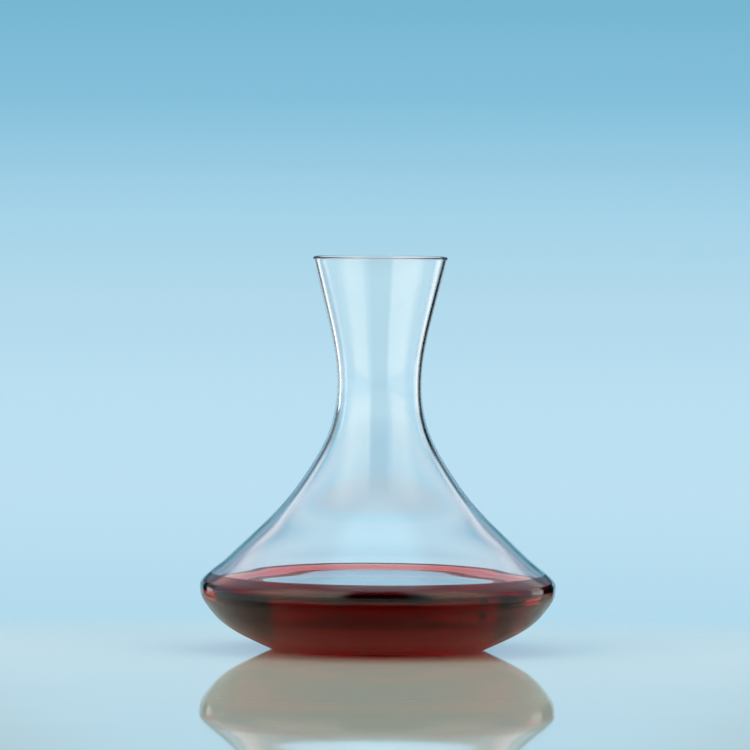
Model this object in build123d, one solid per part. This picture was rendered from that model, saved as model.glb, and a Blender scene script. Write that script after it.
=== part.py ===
from build123d import *
import math
import os

# Wine decanter: one blown and polished piece of clear crystal, and the red wine
# standing in it.  Millimetres, +Z up, origin on the table plane at the centre
# of the foot.  Every surface is a surface of revolution about Z.

# ---------------------------------------------------------------- dimensions
HEIGHT = 218.0            # table to the top of the lip
LIP_R = 36.53             # radius of the lip's centre line
LIP_WALL = 1.8            # glass thickness at the fire-polished lip
FLARE_DEG = 14.0          # the flared neck's angle from vertical, at the lip

THROAT_R = 21.35          # bore of the throat, the narrowest place inside
THROAT_LOW = 143.0        # the throat's short straight land
THROAT_HIGH = 149.0

WIDEST_R = 98.9           # outer radius of the bowl
FOOT_R = 58.66            # outer edge of the flat resting ring
FOOT_EDGE_R = 0.34        # width of the ring's eased outer edge
FOOT_SLOPE_DEG = 25.4     # rise of the bowl's underside as it leaves the foot
RING_IN_R = 51.0          # inner edge of the flat resting ring
PUNT_H = 3.6              # the foot's shallow push-up at the centre
FLOOR_H = 9.1             # top of the glass floor at the centre

WINE_LEVEL = 37.4         # the wine's free surface above the table

# Outer wall from the lip down to the foot: (radius, height).  Straight flare,
# waist at the throat, trumpet-shaped shoulder, a straight 46 degree cone, a
# tight round at the widest place and a curved underside.
OUTER = [
    (32.64, 197.78),
    (28.26, 180.04),
    (24.74, 162.13),
    (23.66, 145.95),
    (24.65, 132.79),
    (27.32, 121.99),
    (31.78, 111.79),
    (38.49, 100.40),
    (47.14, 87.86),
    (56.96, 76.29),
    (68.59, 65.00),
    (78.83, 55.14),
    (86.35, 48.32),
    (91.85, 43.82),
    (96.04, 40.12),
    (98.64, 36.44),
    (98.69, 32.41),
    (97.65, 28.48),
    (94.95, 24.23),
    (90.49, 18.64),
    (84.46, 13.27),
    (74.94, 7.55),
    (63.91, 2.32),
]

# Inner wall of the flared neck, from the lip down to the throat.  The glass
# is 1.8 mm at the lip and 2.3 mm at the throat.
INNER_NECK = [
    (30.70, 198.27),
    (26.16, 180.53),
    (22.52, 162.43),
]

# Inner wall of the bowl, from the throat down to the middle of the floor.
# The glass thickens from 2.3 mm at the throat to 3.4 mm low on the shoulder
# and round the widest place, and to 3.6 mm and more along the underside.
INNER_BOWL = [
    (22.33, 132.42),
    (25.00, 121.19),
    (29.47, 110.59),
    (36.13, 98.89),
    (44.67, 85.99),
    (54.50, 73.94),
    (66.24, 62.54),
    (76.49, 52.68),
    (84.16, 45.72),
    (89.69, 41.19),
    (93.65, 37.70),
    (95.39, 35.44),
    (95.33, 32.92),
    (94.50, 29.85),
    (92.16, 26.31),
    (87.89, 21.01),
    (82.35, 16.14),
    (73.31, 10.76),
    (62.01, 6.40),
    (50.00, 6.30),
    (34.00, 7.10),
    (17.00, 8.50),
]


# ------------------------------------------------------------------ profiles
def at(r, z):
    return (r, 0, z)


flare = math.radians(FLARE_DEG)
slope = math.radians(FOOT_SLOPE_DEG)
half = LIP_WALL / 2
lip_z = HEIGHT - half

lip_out = at(LIP_R + half * math.cos(flare), lip_z - half * math.sin(flare))
lip_top = at(LIP_R, HEIGHT)
lip_in = at(LIP_R - half * math.cos(flare), lip_z + half * math.sin(flare))
down_flare = (-math.sin(flare), 0, -math.cos(flare))

foot_out = at(
    FOOT_R + FOOT_EDGE_R * (1 + math.cos(slope)),
    FOOT_EDGE_R * math.sin(slope),
)
foot_edge_radius = FOOT_EDGE_R / math.tan(slope / 2)
foot_mid = at(
    FOOT_R + foot_edge_radius * math.sin(slope / 2),
    foot_edge_radius * (1 - math.cos(slope / 2)),
)
down_under = (-math.cos(slope), 0, -math.sin(slope))

# outer wall, lip and inner wall
outer_wall = Spline(
    lip_out,
    *[at(r, z) for r, z in OUTER],
    foot_out,
    tangents=[down_flare, down_under],
)
lip = ThreePointArc(lip_out, lip_top, lip_in)
neck_wall = Spline(
    lip_in,
    *[at(r, z) for r, z in INNER_NECK],
    at(THROAT_R, THROAT_HIGH),
    tangents=[down_flare, (0, 0, -1)],
)
throat_wall = Line(at(THROAT_R, THROAT_HIGH), at(THROAT_R, THROAT_LOW))
bowl_wall = Spline(
    at(THROAT_R, THROAT_LOW),
    *[at(r, z) for r, z in INNER_BOWL],
    at(0, FLOOR_H),
    tangents=[(0, 0, -1), (-1, 0, 0)],
)

# foot: eased outer edge, flat resting ring and the punt's shallow dome
foot_edge = ThreePointArc(foot_out, foot_mid, at(FOOT_R, 0))
ring = Line(at(FOOT_R, 0), at(RING_IN_R, 0))
punt_ball = (RING_IN_R**2 + PUNT_H**2) / (2 * PUNT_H)
punt_mid_r = RING_IN_R / 2
punt = ThreePointArc(
    at(RING_IN_R, 0),
    at(punt_mid_r, PUNT_H - punt_ball + math.sqrt(punt_ball**2 - punt_mid_r**2)),
    at(0, PUNT_H),
)

# -------------------------------------------------------------------- solids
glass_section = make_face(
    [
        outer_wall,
        lip,
        neck_wall,
        throat_wall,
        bowl_wall,
        Line(at(0, FLOOR_H), at(0, PUNT_H)),
        punt,
        ring,
        foot_edge,
    ]
)
glass_vessel = revolve(glass_section, Axis.Z, 360)
glass_vessel.label = "glass_vessel"

# the room inside the vessel up to the throat, cut level at the wine's surface
room_section = make_face(
    [
        bowl_wall,
        Line(at(0, FLOOR_H), at(0, THROAT_LOW)),
        Line(at(0, THROAT_LOW), at(THROAT_R, THROAT_LOW)),
    ]
)
room = revolve(room_section, Axis.Z, 360)
below_level = Pos(0, 0, WINE_LEVEL / 2) * Box(
    2.4 * WIDEST_R, 2.4 * WIDEST_R, WINE_LEVEL
)
red_wine = room & below_level
red_wine.label = "red_wine"


# --------------------------------------------------------------------- write
def one_solid(shape):
    solids = shape.solids()
    assert len(solids) == 1, len(solids)
    return solids[0]


os.makedirs("parts", exist_ok=True)
for name, shape in (("glass_vessel", glass_vessel), ("red_wine", red_wine)):
    solid = one_solid(shape)
    solid.label = name
    export_step(solid, f"parts/{name}.step")
    box = solid.bounding_box()
    print(
        f"{name}: {solid.volume / 1000:.1f} ml, "
        f"{box.size.X:.2f} x {box.size.Y:.2f} x {box.size.Z:.2f} mm"
    )
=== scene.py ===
import math

import bmesh
import bpy
import numpy as np
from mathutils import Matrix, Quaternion, Vector


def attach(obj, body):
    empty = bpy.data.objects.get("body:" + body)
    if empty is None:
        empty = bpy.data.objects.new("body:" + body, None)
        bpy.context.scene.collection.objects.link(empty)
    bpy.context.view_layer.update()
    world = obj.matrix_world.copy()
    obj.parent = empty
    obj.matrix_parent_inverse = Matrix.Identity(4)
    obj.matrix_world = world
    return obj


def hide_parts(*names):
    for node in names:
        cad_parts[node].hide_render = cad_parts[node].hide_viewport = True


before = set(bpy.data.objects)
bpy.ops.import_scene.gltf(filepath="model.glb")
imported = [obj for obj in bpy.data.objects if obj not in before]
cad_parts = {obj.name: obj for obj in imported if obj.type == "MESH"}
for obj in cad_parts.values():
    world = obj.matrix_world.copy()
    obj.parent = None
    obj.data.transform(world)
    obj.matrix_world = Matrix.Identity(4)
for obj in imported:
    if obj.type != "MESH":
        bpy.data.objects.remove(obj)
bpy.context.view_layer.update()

# ---------------------------------------------------------------------------
# The camera comes first: a long lens, level with the middle of the neck, looking 2.1 degrees down.
# ---------------------------------------------------------------------------
CAM_DIST = 4.162        # m from the axis
CAM_DOWN = math.radians(2.1)
AIM_Z = 0.1523          # m, the height of the axis at the picture's middle row
ROLL = math.radians(-0.45)

cam_data = bpy.data.cameras.new("camera")
cam_data.lens = 360.0
cam_data.sensor_width = 36.0
cam = bpy.data.objects.new("camera", cam_data)
bpy.context.scene.collection.objects.link(cam)
bpy.context.scene.camera = cam
back = Vector((0.0, -math.cos(CAM_DOWN), math.sin(CAM_DOWN)))
cam.rotation_mode = "QUATERNION"
quat = (-back).to_track_quat("-Z", "Y")
cam.rotation_quaternion = quat @ Quaternion((0.0, 0.0, 1.0), -ROLL)
cam.location = Vector((-0.0025, 0.0, AIM_Z)) + back * CAM_DIST
cam_data.clip_start = 0.01
cam_data.clip_end = 40.0

# ---------------------------------------------------------------------------
# The blown form, in millimetres. Radius and height of the stations along each wall.
# ---------------------------------------------------------------------------
HEIGHT = 218.0
LIP_R, LIP_WALL = 36.53, 1.8
FLARE = math.radians(14.0)
THROAT_R, THROAT_LOW, THROAT_HIGH = 21.35, 143.0, 149.0
FOOT_R, FOOT_EDGE_R, FOOT_SLOPE = 58.66, 0.34, math.radians(25.4)
RING_IN_R, PUNT_H, FLOOR_H = 51.0, 3.6, 9.1
WINE_LEVEL = 37.4

OUTER = [(32.64, 197.78), (28.26, 180.04), (24.74, 162.13), (23.66, 145.95), (24.65, 132.79),
         (27.32, 121.99), (31.78, 111.79), (38.49, 100.40), (47.14, 87.86), (56.96, 76.29),
         (68.59, 65.00), (78.83, 55.14), (86.35, 48.32), (91.85, 43.82), (96.04, 40.12),
         (98.64, 36.44), (98.69, 32.41), (97.65, 28.48), (94.95, 24.23), (90.49, 18.64),
         (84.46, 13.27), (74.94, 7.55), (63.91, 2.32)]
INNER_NECK = [(30.70, 198.27), (26.16, 180.53), (22.52, 162.43)]
INNER_BOWL = [(22.33, 132.42), (25.00, 121.19), (29.47, 110.59), (36.13, 98.89), (44.67, 85.99),
              (54.50, 73.94), (66.24, 62.54), (76.49, 52.68), (84.16, 45.72), (89.69, 41.19),
              (93.65, 37.70), (95.39, 35.44), (95.33, 32.92), (94.50, 29.85), (92.16, 26.31),
              (87.89, 21.01), (82.35, 16.14), (73.31, 10.76), (62.01, 6.40), (50.00, 6.30),
              (34.00, 7.10), (17.00, 8.50)]


def spline(points, start, end, step):
    """A clamped cubic through the points, by chord length, sampled about every step mm."""
    p = np.array(points, float)
    h = np.linalg.norm(np.diff(p, axis=0), axis=1)
    n = len(p)
    a = np.zeros((n, n))
    b = np.zeros((n, 2))
    a[0, 0] = a[-1, -1] = 1.0
    b[0] = np.array(start) / np.linalg.norm(start)
    b[-1] = np.array(end) / np.linalg.norm(end)
    for i in range(1, n - 1):
        a[i, i - 1], a[i, i], a[i, i + 1] = h[i], 2 * (h[i - 1] + h[i]), h[i - 1]
        b[i] = 3 * (h[i - 1] / h[i] * (p[i + 1] - p[i]) + h[i] / h[i - 1] * (p[i] - p[i - 1]))
    m = np.linalg.solve(a, b)
    out = []
    for i in range(n - 1):
        k = max(2, int(round(h[i] / step)))
        for t in np.arange(k) / k:
            h00, h10 = 2 * t**3 - 3 * t**2 + 1, t**3 - 2 * t**2 + t
            h01, h11 = -2 * t**3 + 3 * t**2, t**3 - t**2
            out.append(h00 * p[i] + h10 * h[i] * m[i] + h01 * p[i + 1] + h11 * h[i] * m[i + 1])
    out.append(p[-1])
    return [tuple(q) for q in out]


def arc(c, r, a0, a1, k):
    return [(c[0] + r * math.cos(t), c[1] + r * math.sin(t)) for t in np.linspace(a0, a1, k)]


half = LIP_WALL / 2
lip_c = (LIP_R, HEIGHT - half)
lip_out = (LIP_R + half * math.cos(FLARE), HEIGHT - half - half * math.sin(FLARE))
lip_in = (LIP_R - half * math.cos(FLARE), HEIGHT - half + half * math.sin(FLARE))
# the foot's small edge arc, tangent to the table and to the wall
foot_arc = FOOT_EDGE_R / math.tan(FOOT_SLOPE / 2)
foot_c = (FOOT_R, foot_arc)
foot_out = (FOOT_R + foot_arc * math.sin(FOOT_SLOPE), foot_arc - foot_arc * math.cos(FOOT_SLOPE))

outer = spline([lip_out, *OUTER, foot_out], (-math.sin(FLARE), -math.cos(FLARE)),
               (-math.cos(FOOT_SLOPE), -math.sin(FOOT_SLOPE)), 0.9)
foot = arc(foot_c, foot_arc, -math.pi / 2 + FOOT_SLOPE, -math.pi / 2, 6)[1:]
ring = [(r, 0.0) for r in np.linspace(FOOT_R, RING_IN_R, 6)][1:]
punt_r = (RING_IN_R**2 + PUNT_H**2) / (2 * PUNT_H)
punt = [(r, math.sqrt(punt_r**2 - r**2) - (punt_r - PUNT_H)) for r in np.linspace(RING_IN_R, 0.0, 40)][1:]
inside_down = spline([lip_in, *INNER_NECK, (THROAT_R, (THROAT_LOW + THROAT_HIGH) / 2), *INNER_BOWL, (0.0, FLOOR_H)],
                     (-math.sin(FLARE), -math.cos(FLARE)), (-1, 0), 0.9)
bowl_in = inside_down
lip = arc(lip_c, half, math.pi - FLARE, -FLARE, 11)[1:-1]
# one closed section, down the outside, in under the foot, and up the inside
section = outer + foot + ring + punt + inside_down[::-1] + lip

SEG = 320


def lathe(name, section, closed, waver=None):
    """Turns a section (r, z) in mm about Z. Points at r = 0 are single vertices."""
    co, rows = [], []
    ang = np.linspace(0, 2 * math.pi, SEG, endpoint=False)
    for r, z in section:
        if r < 1e-6:
            rows.append([len(co)] * SEG)
            co.append((0.0, 0.0, z / 1000))
            continue
        base = len(co)
        rows.append([base + i for i in range(SEG)])
        for t in ang:
            d = waver(r, z, t) if waver else 0.0
            co.append(((r + d) * math.cos(t) / 1000, (r + d) * math.sin(t) / 1000, z / 1000))
    faces, where = [], []
    pairs = list(zip(range(len(rows) - 1), range(1, len(rows))))
    if closed:
        pairs.append((len(rows) - 1, 0))
    for a, b in pairs:
        ra, rb = rows[a], rows[b]
        if ra[0] == ra[1] and rb[0] == rb[1]:
            continue
        for i in range(SEG):
            j = (i + 1) % SEG
            if ra[0] == ra[1]:
                faces.append((ra[0], rb[j], rb[i]))
            elif rb[0] == rb[1]:
                faces.append((ra[i], ra[j], rb[0]))
            else:
                faces.append((ra[i], ra[j], rb[j], rb[i]))
            where.append(a)
    me = bpy.data.meshes.new(name)
    me.from_pydata(co, [], faces)
    me.polygons.foreach_set("use_smooth", np.ones(len(faces), bool))
    me.validate()
    me.update()
    ob = bpy.data.objects.new(name, me)
    bpy.context.scene.collection.objects.link(ob)
    return ob, where


# ---------------------------------------------------------------------------
# Materials
# ---------------------------------------------------------------------------
def material(name):
    m = bpy.data.materials.new(name)
    m.use_nodes = True
    n = m.node_tree.nodes
    n.clear()
    return m, n, m.node_tree.links


def glass_material(name, tint):
    m, n, l = material(name)
    out = n.new("ShaderNodeOutputMaterial")
    p = n.new("ShaderNodeBsdfPrincipled")
    p.inputs["Transmission Weight"].default_value = 1.0
    p.inputs["IOR"].default_value = 1.52
    p.inputs["Specular Tint"].default_value = (tint, tint, tint, 1.0)
    tc = n.new("ShaderNodeTexCoord")
    wide = n.new("ShaderNodeTexNoise")
    wide.inputs["Scale"].default_value = 22.0
    wide.inputs["Detail"].default_value = 1.0
    l.new(tc.outputs["Object"], wide.inputs["Vector"])
    hue = n.new("ShaderNodeValToRGB")
    hue.color_ramp.elements[0].position = 0.3
    hue.color_ramp.elements[0].color = (0.984, 0.995, 0.992, 1)
    hue.color_ramp.elements[1].position = 0.7
    hue.color_ramp.elements[1].color = (0.994, 0.999, 0.998, 1)
    l.new(wide.outputs["Fac"], hue.inputs["Fac"])
    l.new(hue.outputs["Color"], p.inputs["Base Color"])
    rough = n.new("ShaderNodeMapRange")
    rough.inputs["From Min"].default_value = 0.55
    rough.inputs["From Max"].default_value = 0.8
    rough.inputs["To Min"].default_value = 0.0
    rough.inputs["To Max"].default_value = 0.012
    l.new(wide.outputs["Fac"], rough.inputs["Value"])
    l.new(rough.outputs["Result"], p.inputs["Roughness"])
    bump = n.new("ShaderNodeBump")
    bump.inputs["Strength"].default_value = 0.04
    bump.inputs["Distance"].default_value = 0.001
    l.new(wide.outputs["Fac"], bump.inputs["Height"])
    l.new(bump.outputs["Normal"], p.inputs["Normal"])
    l.new(p.outputs["BSDF"], out.inputs["Surface"])
    return m


def wine_material(name):
    m, n, l = material(name)
    out = n.new("ShaderNodeOutputMaterial")
    p = n.new("ShaderNodeBsdfPrincipled")
    p.inputs["Transmission Weight"].default_value = 1.0
    p.inputs["IOR"].default_value = 1.345
    p.inputs["Specular Tint"].default_value = (0.1, 0.1, 0.1, 1.0)
    p.inputs["Roughness"].default_value = 0.0
    tc = n.new("ShaderNodeTexCoord")
    wide = n.new("ShaderNodeTexNoise")
    wide.inputs["Scale"].default_value = 30.0
    wide.inputs["Detail"].default_value = 1.0
    l.new(tc.outputs["Object"], wide.inputs["Vector"])
    hue = n.new("ShaderNodeValToRGB")
    hue.color_ramp.elements[0].position = 0.3
    hue.color_ramp.elements[0].color = (1.0, 0.93, 0.92, 1)
    hue.color_ramp.elements[1].position = 0.7
    hue.color_ramp.elements[1].color = (1.0, 0.97, 0.96, 1)
    l.new(wide.outputs["Fac"], hue.inputs["Fac"])
    l.new(hue.outputs["Color"], p.inputs["Base Color"])
    bump = n.new("ShaderNodeBump")
    bump.inputs["Strength"].default_value = 0.02
    bump.inputs["Distance"].default_value = 0.0005
    l.new(wide.outputs["Fac"], bump.inputs["Height"])
    l.new(bump.outputs["Normal"], p.inputs["Normal"])
    l.new(p.outputs["BSDF"], out.inputs["Surface"])
    v = n.new("ShaderNodeVolumeAbsorption")
    v.inputs["Color"].default_value = (0.9626, 0.032, 0.129, 1.0)
    v.inputs["Density"].default_value = 310.0
    l.new(v.outputs["Volume"], out.inputs["Volume"])
    return m


crystal = glass_material("crystal", 0.6)
crystal_wet = glass_material("crystal_wet", 0.05)
# the lower outside of the bowl gets a copy of the glass with its reflection turned almost off: a painted shade that
# hides the floor's reflection there
crystal_under_painted_shade = glass_material("crystal_under_painted_shade", 0.02)
wine_mat = wine_material("red_wine")

# ---------------------------------------------------------------------------
# The wine, let 0.04 mm into the glass all round, with the level drawn up a little at the wall
# ---------------------------------------------------------------------------
LET_IN = 0.04
CAPILLARY = 2.0         # mm, of wine
CONTACT = math.radians(55.0)

# the inner wall from the throat down to the floor
pts = np.array([q for q in bowl_in if q[1] < 60.0])
# the angle that the surface turns through by the overhanging wall, and so how high it climbs
climb = 0.0
for _ in range(30):
    top_z = WINE_LEVEL + climb
    i0 = next(i for i in range(len(pts)) if pts[i][1] <= top_z)
    d = pts[i0] - pts[i0 - 1]
    slope = math.atan2(-d[1], d[0])                   # of the wall below the horizontal
    turn = math.pi - slope - CONTACT
    climb = 0.5 * climb + 0.5 * 2 * CAPILLARY * math.sin(turn / 2)
f = (top_z - pts[i0 - 1][1]) / (pts[i0][1] - pts[i0 - 1][1])
start = pts[i0 - 1] + f * (pts[i0] - pts[i0 - 1])
print("CONTACT LINE", start, "turn", math.degrees(turn), "climb", climb)
wet = np.vstack([start, pts[i0:]])
tan = np.gradient(wet, axis=0)
tan /= np.linalg.norm(tan, axis=1)[:, None]
nrm = np.stack([-tan[:, 1], tan[:, 0]], axis=1)      # out of the cavity
grown = wet + nrm * LET_IN
grown[-1] = (0.0, FLOOR_H - LET_IN)
# the surface near the wall, from the wall inward
psi = np.linspace(turn, math.radians(0.15), 400)
dx = CAPILLARY * np.cos(psi) / (2 * np.sin(psi / 2))
away = np.concatenate([[0], np.cumsum(0.5 * (dx[1:] + dx[:-1]) * (psi[:-1] - psi[1:]))])
rise = 2 * CAPILLARY * np.sin(psi / 2)
curve = np.stack([grown[0][0] - away, WINE_LEVEL + rise], axis=1)
keep = [0]
for i in range(1, len(curve)):
    if np.linalg.norm(curve[i] - curve[keep[-1]]) > min(0.6, 0.10 + 0.04 * max(0.0, away[i])):
        keep.append(i)
curve = curve[keep][::-1]
curve[-1] = grown[0] - (0.0, 1e-3)
surface = [(0.0, WINE_LEVEL)] + [(r, WINE_LEVEL) for r in np.linspace(0, curve[0][0], 30)[1:-1]] + [tuple(q) for q in curve[:-1]]
wine_section = surface + [tuple(q) for q in grown]
CONTACT_Z = float(start[1])
PAINTED_SHADE_BELOW_Z = 30.0

# ---------------------------------------------------------------------------
# The glass
# ---------------------------------------------------------------------------
decanter, where = lathe("decanter_glass", section, closed=True)
decanter.data.materials.append(crystal)
decanter.data.materials.append(crystal_wet)
decanter.data.materials.append(crystal_under_painted_shade)
first_in = len(outer) + len(foot) + len(ring) + len(punt)
last_in = first_in + len(inside_down)
idx = np.zeros(len(decanter.data.polygons), np.int32)
for i, a in enumerate(where):
    if first_in <= a < last_in - 1 and section[a][1] < CONTACT_Z and section[a + 1][1] < CONTACT_Z:
        idx[i] = 1
    # the outside below 30 mm takes the copy with the reflection turned almost off (painted shade)
    elif a < first_in - 1 and section[a + 1][1] < PAINTED_SHADE_BELOW_Z:
        idx[i] = 2
decanter.data.polygons.foreach_set("material_index", idx)
decanter.data.update()

wine, _ = lathe("wine_fill", wine_section, closed=False)
wine.data.materials.append(wine_mat)

for ob in (decanter, wine):
    bm = bmesh.new()
    bm.from_mesh(ob.data)
    bmesh.ops.recalc_face_normals(bm, faces=bm.faces)
    bm.to_mesh(ob.data)
    bm.free()

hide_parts("glass_vessel")
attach(decanter, "root")
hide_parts("red_wine")
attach(wine, "root")

# ---------------------------------------------------------------------------
# The floor: a pale semi-gloss disc that fades out behind the decanter
# ---------------------------------------------------------------------------
FLOOR_TONE = (0.580, 0.590, 0.492)
FLOOR_CY, FLOOR_RX, FLOOR_RY = -0.52, 0.95, 0.88     # m; the disc lies mostly in front


def floor_material():
    m, n, l = material("floor")
    out = n.new("ShaderNodeOutputMaterial")
    p = n.new("ShaderNodeBsdfPrincipled")
    p.inputs["Roughness"].default_value = 0.03
    p.inputs["IOR"].default_value = 1.36
    tc = n.new("ShaderNodeTexCoord")
    noise = n.new("ShaderNodeTexNoise")
    noise.inputs["Scale"].default_value = 6.0
    noise.inputs["Detail"].default_value = 2.0
    l.new(tc.outputs["Object"], noise.inputs["Vector"])
    ramp = n.new("ShaderNodeValToRGB")
    ramp.color_ramp.elements[0].position = 0.3
    ramp.color_ramp.elements[0].color = (*[c * 0.97 for c in FLOOR_TONE], 1)
    ramp.color_ramp.elements[1].position = 0.7
    ramp.color_ramp.elements[1].color = (*FLOOR_TONE, 1)
    l.new(noise.outputs["Fac"], ramp.inputs["Fac"])
    l.new(ramp.outputs["Color"], p.inputs["Base Color"])
    length = n.new("ShaderNodeVectorMath")
    length.operation = "LENGTH"
    l.new(tc.outputs["Object"], length.inputs[0])
    fade = n.new("ShaderNodeMapRange")
    fade.interpolation_type = "SMOOTHSTEP"
    fade.inputs["From Min"].default_value = 0.72
    fade.inputs["From Max"].default_value = 0.95
    l.new(length.outputs["Value"], fade.inputs["Value"])
    clear = n.new("ShaderNodeBsdfTransparent")
    mix = n.new("ShaderNodeMixShader")
    l.new(fade.outputs["Result"], mix.inputs["Fac"])
    l.new(p.outputs["BSDF"], mix.inputs[1])
    l.new(clear.outputs["BSDF"], mix.inputs[2])
    l.new(mix.outputs["Shader"], out.inputs["Surface"])
    return m


ring_r = [0.0, 0.2, 0.4, 0.6, 0.8, 0.96]
co, faces = [(0, 0, 0)], []
N = 96
for r in ring_r[1:]:
    co += [(r * math.cos(2 * math.pi * i / N), r * math.sin(2 * math.pi * i / N), 0.0) for i in range(N)]
for i in range(N):
    faces.append((0, 1 + i, 1 + (i + 1) % N))
for k in range(len(ring_r) - 2):
    for i in range(N):
        p, q = 1 + k * N + i, 1 + k * N + (i + 1) % N
        faces.append((p, p + N, q + N, q))
me = bpy.data.meshes.new("floor")
me.from_pydata(co, [], faces)
me.update()
floor = bpy.data.objects.new("floor", me)
floor.location = (0.0, FLOOR_CY, -0.0003)
floor.scale = (FLOOR_RX, FLOOR_RY, 1.0)
bpy.context.scene.collection.objects.link(floor)
me.materials.append(floor_material())

# ---------------------------------------------------------------------------
# The studio: a pale blue backdrop, dark flags and white strips at its sides, a light ceiling
# ---------------------------------------------------------------------------
def srgb(r, g, b):
    return tuple(((c / 255 / 12.92) if c / 255 <= 0.04045 else ((c / 255 + 0.055) / 1.055) ** 2.4) for c in (r, g, b)) + (1.0,)


world = bpy.data.worlds.new("studio")
bpy.context.scene.world = world
world.use_nodes = True
wn, wl = world.node_tree.nodes, world.node_tree.links
wn.clear()
wout = wn.new("ShaderNodeOutputWorld")
bg = wn.new("ShaderNodeBackground")
wl.new(bg.outputs["Background"], wout.inputs["Surface"])
tc = wn.new("ShaderNodeTexCoord")
sep = wn.new("ShaderNodeSeparateXYZ")
wl.new(tc.outputs["Generated"], sep.inputs["Vector"])


def math_node(op, a, b=None, clamp=False):
    k = wn.new("ShaderNodeMath")
    k.operation = op
    k.use_clamp = clamp
    for i, v in enumerate((a, b)):
        if v is None:
            continue
        if isinstance(v, (int, float)):
            k.inputs[i].default_value = v
        else:
            wl.new(v, k.inputs[i])
    return k.outputs[0]


DEG = 180 / math.pi
az = math_node("MULTIPLY", math_node("ARCTAN2", sep.outputs["X"], sep.outputs["Y"]), DEG)
el = math_node("MULTIPLY", math_node("ARCSINE", sep.outputs["Z"]), DEG)


def ramp_node(value, lo, hi, stops):
    """A colour ramp over value from lo to hi; stops are (value, (r, g, b, 1))."""
    mr = wn.new("ShaderNodeMapRange")
    mr.inputs["From Min"].default_value = lo
    mr.inputs["From Max"].default_value = hi
    wl.new(value, mr.inputs["Value"])
    r = wn.new("ShaderNodeValToRGB")
    r.color_ramp.interpolation = "LINEAR"
    el_ = r.color_ramp.elements
    for i, (v, c) in enumerate(stops):
        pos = (v - lo) / (hi - lo)
        e = el_[i] if i < 2 else el_.new(pos)
        e.position = pos
        e.color = c
    wl.new(mr.outputs["Result"], r.inputs["Fac"])
    return r.outputs["Color"]


def window(value, a0, a1, b0, b1):
    """1 between a1 and b0, falling smoothly to 0 at a0 and b1."""
    up = wn.new("ShaderNodeMapRange")
    up.interpolation_type = "SMOOTHSTEP"
    up.inputs["From Min"].default_value, up.inputs["From Max"].default_value = a0, a1
    wl.new(value, up.inputs["Value"])
    dn = wn.new("ShaderNodeMapRange")
    dn.interpolation_type = "SMOOTHSTEP"
    dn.inputs["From Min"].default_value, dn.inputs["From Max"].default_value = b0, b1
    dn.inputs["To Min"].default_value, dn.inputs["To Max"].default_value = 1.0, 0.0
    wl.new(value, dn.inputs["Value"])
    return math_node("MULTIPLY", up.outputs["Result"], dn.outputs["Result"])


def over(base, colour, fac):
    mx = wn.new("ShaderNodeMix")
    mx.data_type = "RGBA"
    wl.new(fac, mx.inputs["Factor"])
    wl.new(base, mx.inputs["A"])
    if isinstance(colour, tuple):
        mx.inputs["B"].default_value = colour
    else:
        wl.new(colour, mx.inputs["B"])
    return mx.outputs["Result"]


az_abs = math_node("ABSOLUTE", az)
backdrop = ramp_node(el, -10.0, 10.0, [
    (-10.0, srgb(186, 206, 222)), (-5.2, srgb(184, 210, 226)), (-4.2, srgb(176, 217, 237)),
    (-3.0, srgb(188, 224, 241)), (-2.2, srgb(185, 223, 241)), (-1.5, srgb(178, 217, 236)),
    (-0.8, srgb(163, 210, 232)), (0.0, srgb(133, 192, 219)), (0.8, srgb(118, 182, 209)),
    (2.4, srgb(160, 208, 229)), (3.4, srgb(205, 228, 246)), (4.1, srgb(185, 221, 247)),
    (4.8, srgb(158, 212, 246)), (10.0, srgb(160, 206, 236)),
])


def patch(base, colour, az0, az1, az2, az3, el0, el1, el2, el3):
    """A soft-edged panel over the base: between az1 and az2, el1 and el2, with feathered sides."""
    return over(base, colour, math_node("MULTIPLY", window(az, az0, az1, az2, az3), window(el, el0, el1, el2, el3)))


# the angle from the backdrop's middle, and the way round it: 0 at the sides, 90 above
away_deg = math_node("MULTIPLY", math_node("ARCCOSINE", sep.outputs["Y"]), DEG)
clock = math_node("MULTIPLY", math_node("ARCTAN2", sep.outputs["Z"], math_node("ABSOLUTE", sep.outputs["X"])), DEG)
at_left = math_node("LESS_THAN", sep.outputs["X"], 0.0)
at_right = math_node("SUBTRACT", 1.0, at_left)


def ring(base, colour, side, d0, d1, d2, d3, c0, c1, c2, c3):
    """Part of a soft-edged ring round the backdrop, at one side of it."""
    k = math_node("MULTIPLY", window(away_deg, d0, d1, d2, d3), window(clock, c0, c1, c2, c3))
    return over(base, colour, math_node("MULTIPLY", k, side) if side else k)


DARK = (0.012, 0.030, 0.042, 1.0)
BLACK = (0.006, 0.012, 0.016, 1.0)
MID = (0.07, 0.21, 0.29, 1.0)
GREY = (0.245, 0.42, 0.54, 1.0)
above = wn.new("ShaderNodeMapRange")
above.interpolation_type = "SMOOTHSTEP"
above.inputs["From Min"].default_value, above.inputs["From Max"].default_value = 8.0, 40.0
wl.new(el, above.inputs["Value"])
sky = over(backdrop, (0.80, 1.00, 1.15, 1.0), above.outputs["Result"])
# above the bright backdrop: dark in the middle, blue-grey round it, then white
sky = ring(sky, GREY, None, 5.0, 6.5, 32, 36, 20, 30, 150, 160)
sky = patch(sky, MID, -22, -16, 16, 22, 5.0, 6.5, 9, 14)
sky = patch(sky, DARK, -12, -9, 9, 12, 5.0, 6.2, 14, 20)
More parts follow.
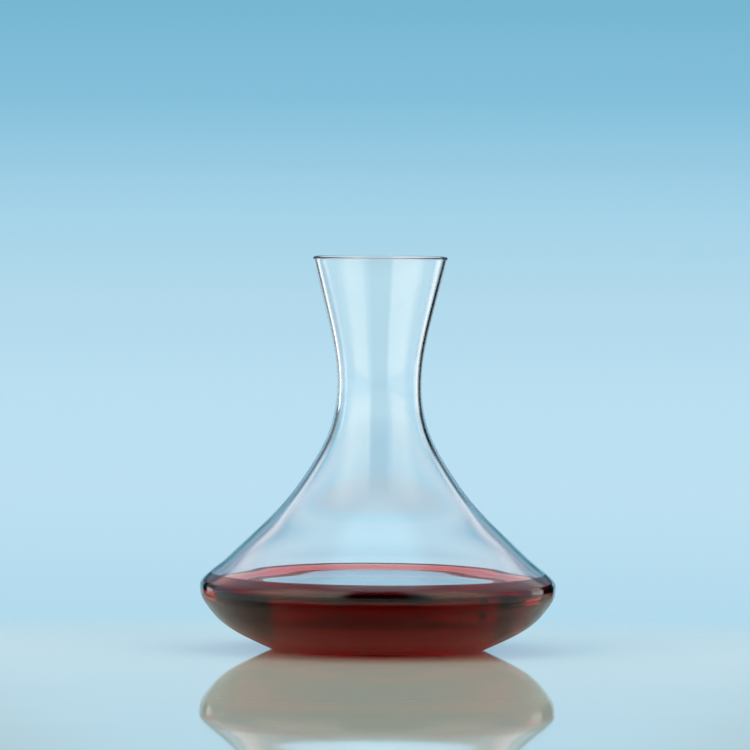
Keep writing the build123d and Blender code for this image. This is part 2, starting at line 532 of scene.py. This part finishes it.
# at its sides: black, then the white strips
sky = ring(sky, DARK, at_left, 23, 25.5, 32.5, 35, -40, -30, 22, 32)
sky = ring(sky, BLACK, at_right, 19, 22, 43, 46, -40, -30, 22, 32)
sky = ring(sky, (1.25, 1.28, 1.28, 1.0), at_left, 34, 36.5, 43, 46, -40, -30, 22, 32)
sky = ring(sky, (1.35, 1.36, 1.34, 1.0), at_right, 45, 48, 58, 62, -40, -30, 22, 32)
sky = ring(sky, (1.1, 1.15, 1.2, 1.0), None, 34, 38, 44, 50, 22, 32, 62, 72)
# the strips are brighter beside the neck
sky = ring(sky, (1.75, 1.80, 1.80, 1.0), at_left, 34, 36.5, 43, 46, -40, -30, 3, 9)
sky = ring(sky, (2.0, 2.0, 1.95, 1.0), at_right, 44, 47, 59, 63, -40, -30, 3, 9)
# a thin flag beside the left strip, and the strips dimmed where the bowl sees them
sky = patch(sky, DARK, -21.4, -20.6, -19.2, -18.4, 2.6, 4, 10, 14)
sky = patch(sky, (0.22, 0.22, 0.22, 1.0), -50, -46, -33, -30, 1.8, 3.2, 14, 19)
# the part of the backdrop that lies mirrored in the wine's surface
sky = patch(sky, srgb(156, 217, 242), -6, -4.5, 4.5, 6, 2.6, 3.0, 3.9, 4.12)
# the two softboxes at the camera's side
sky = patch(sky, (3.15, 2.8, 2.38, 1.0), -168, -152, -110, -78, -11.5, 11.5, 45, 72)
sky = patch(sky, (2.75, 2.45, 2.08, 1.0), 86, 116, 138, 154, -11.5, 11.5, 45, 72)
# the dark room behind the camera
sky = over(sky, (0.02, 0.025, 0.03, 1.0), math_node("MULTIPLY", window(az_abs, 150, 164, 200, 201), window(el, -10, -4, 60, 72)))
# overhead, a light panel
sky = over(sky, (1.4, 2.15, 2.45, 1.0), window(el, 66, 79, 200, 201))
wl.new(sky, bg.inputs["Color"])
bg.inputs["Strength"].default_value = 1.0

scene = bpy.context.scene
scene.view_settings.view_transform = "Standard"
scene.view_settings.look = "None"
scene.view_settings.exposure = 0.0
scene.view_settings.gamma = 1.0
scene.cycles.max_bounces = 32
scene.cycles.transmission_bounces = 32
scene.cycles.glossy_bounces = 12
scene.cycles.transparent_max_bounces = 16
scene.cycles.caustics_reflective = True
scene.cycles.caustics_refractive = True
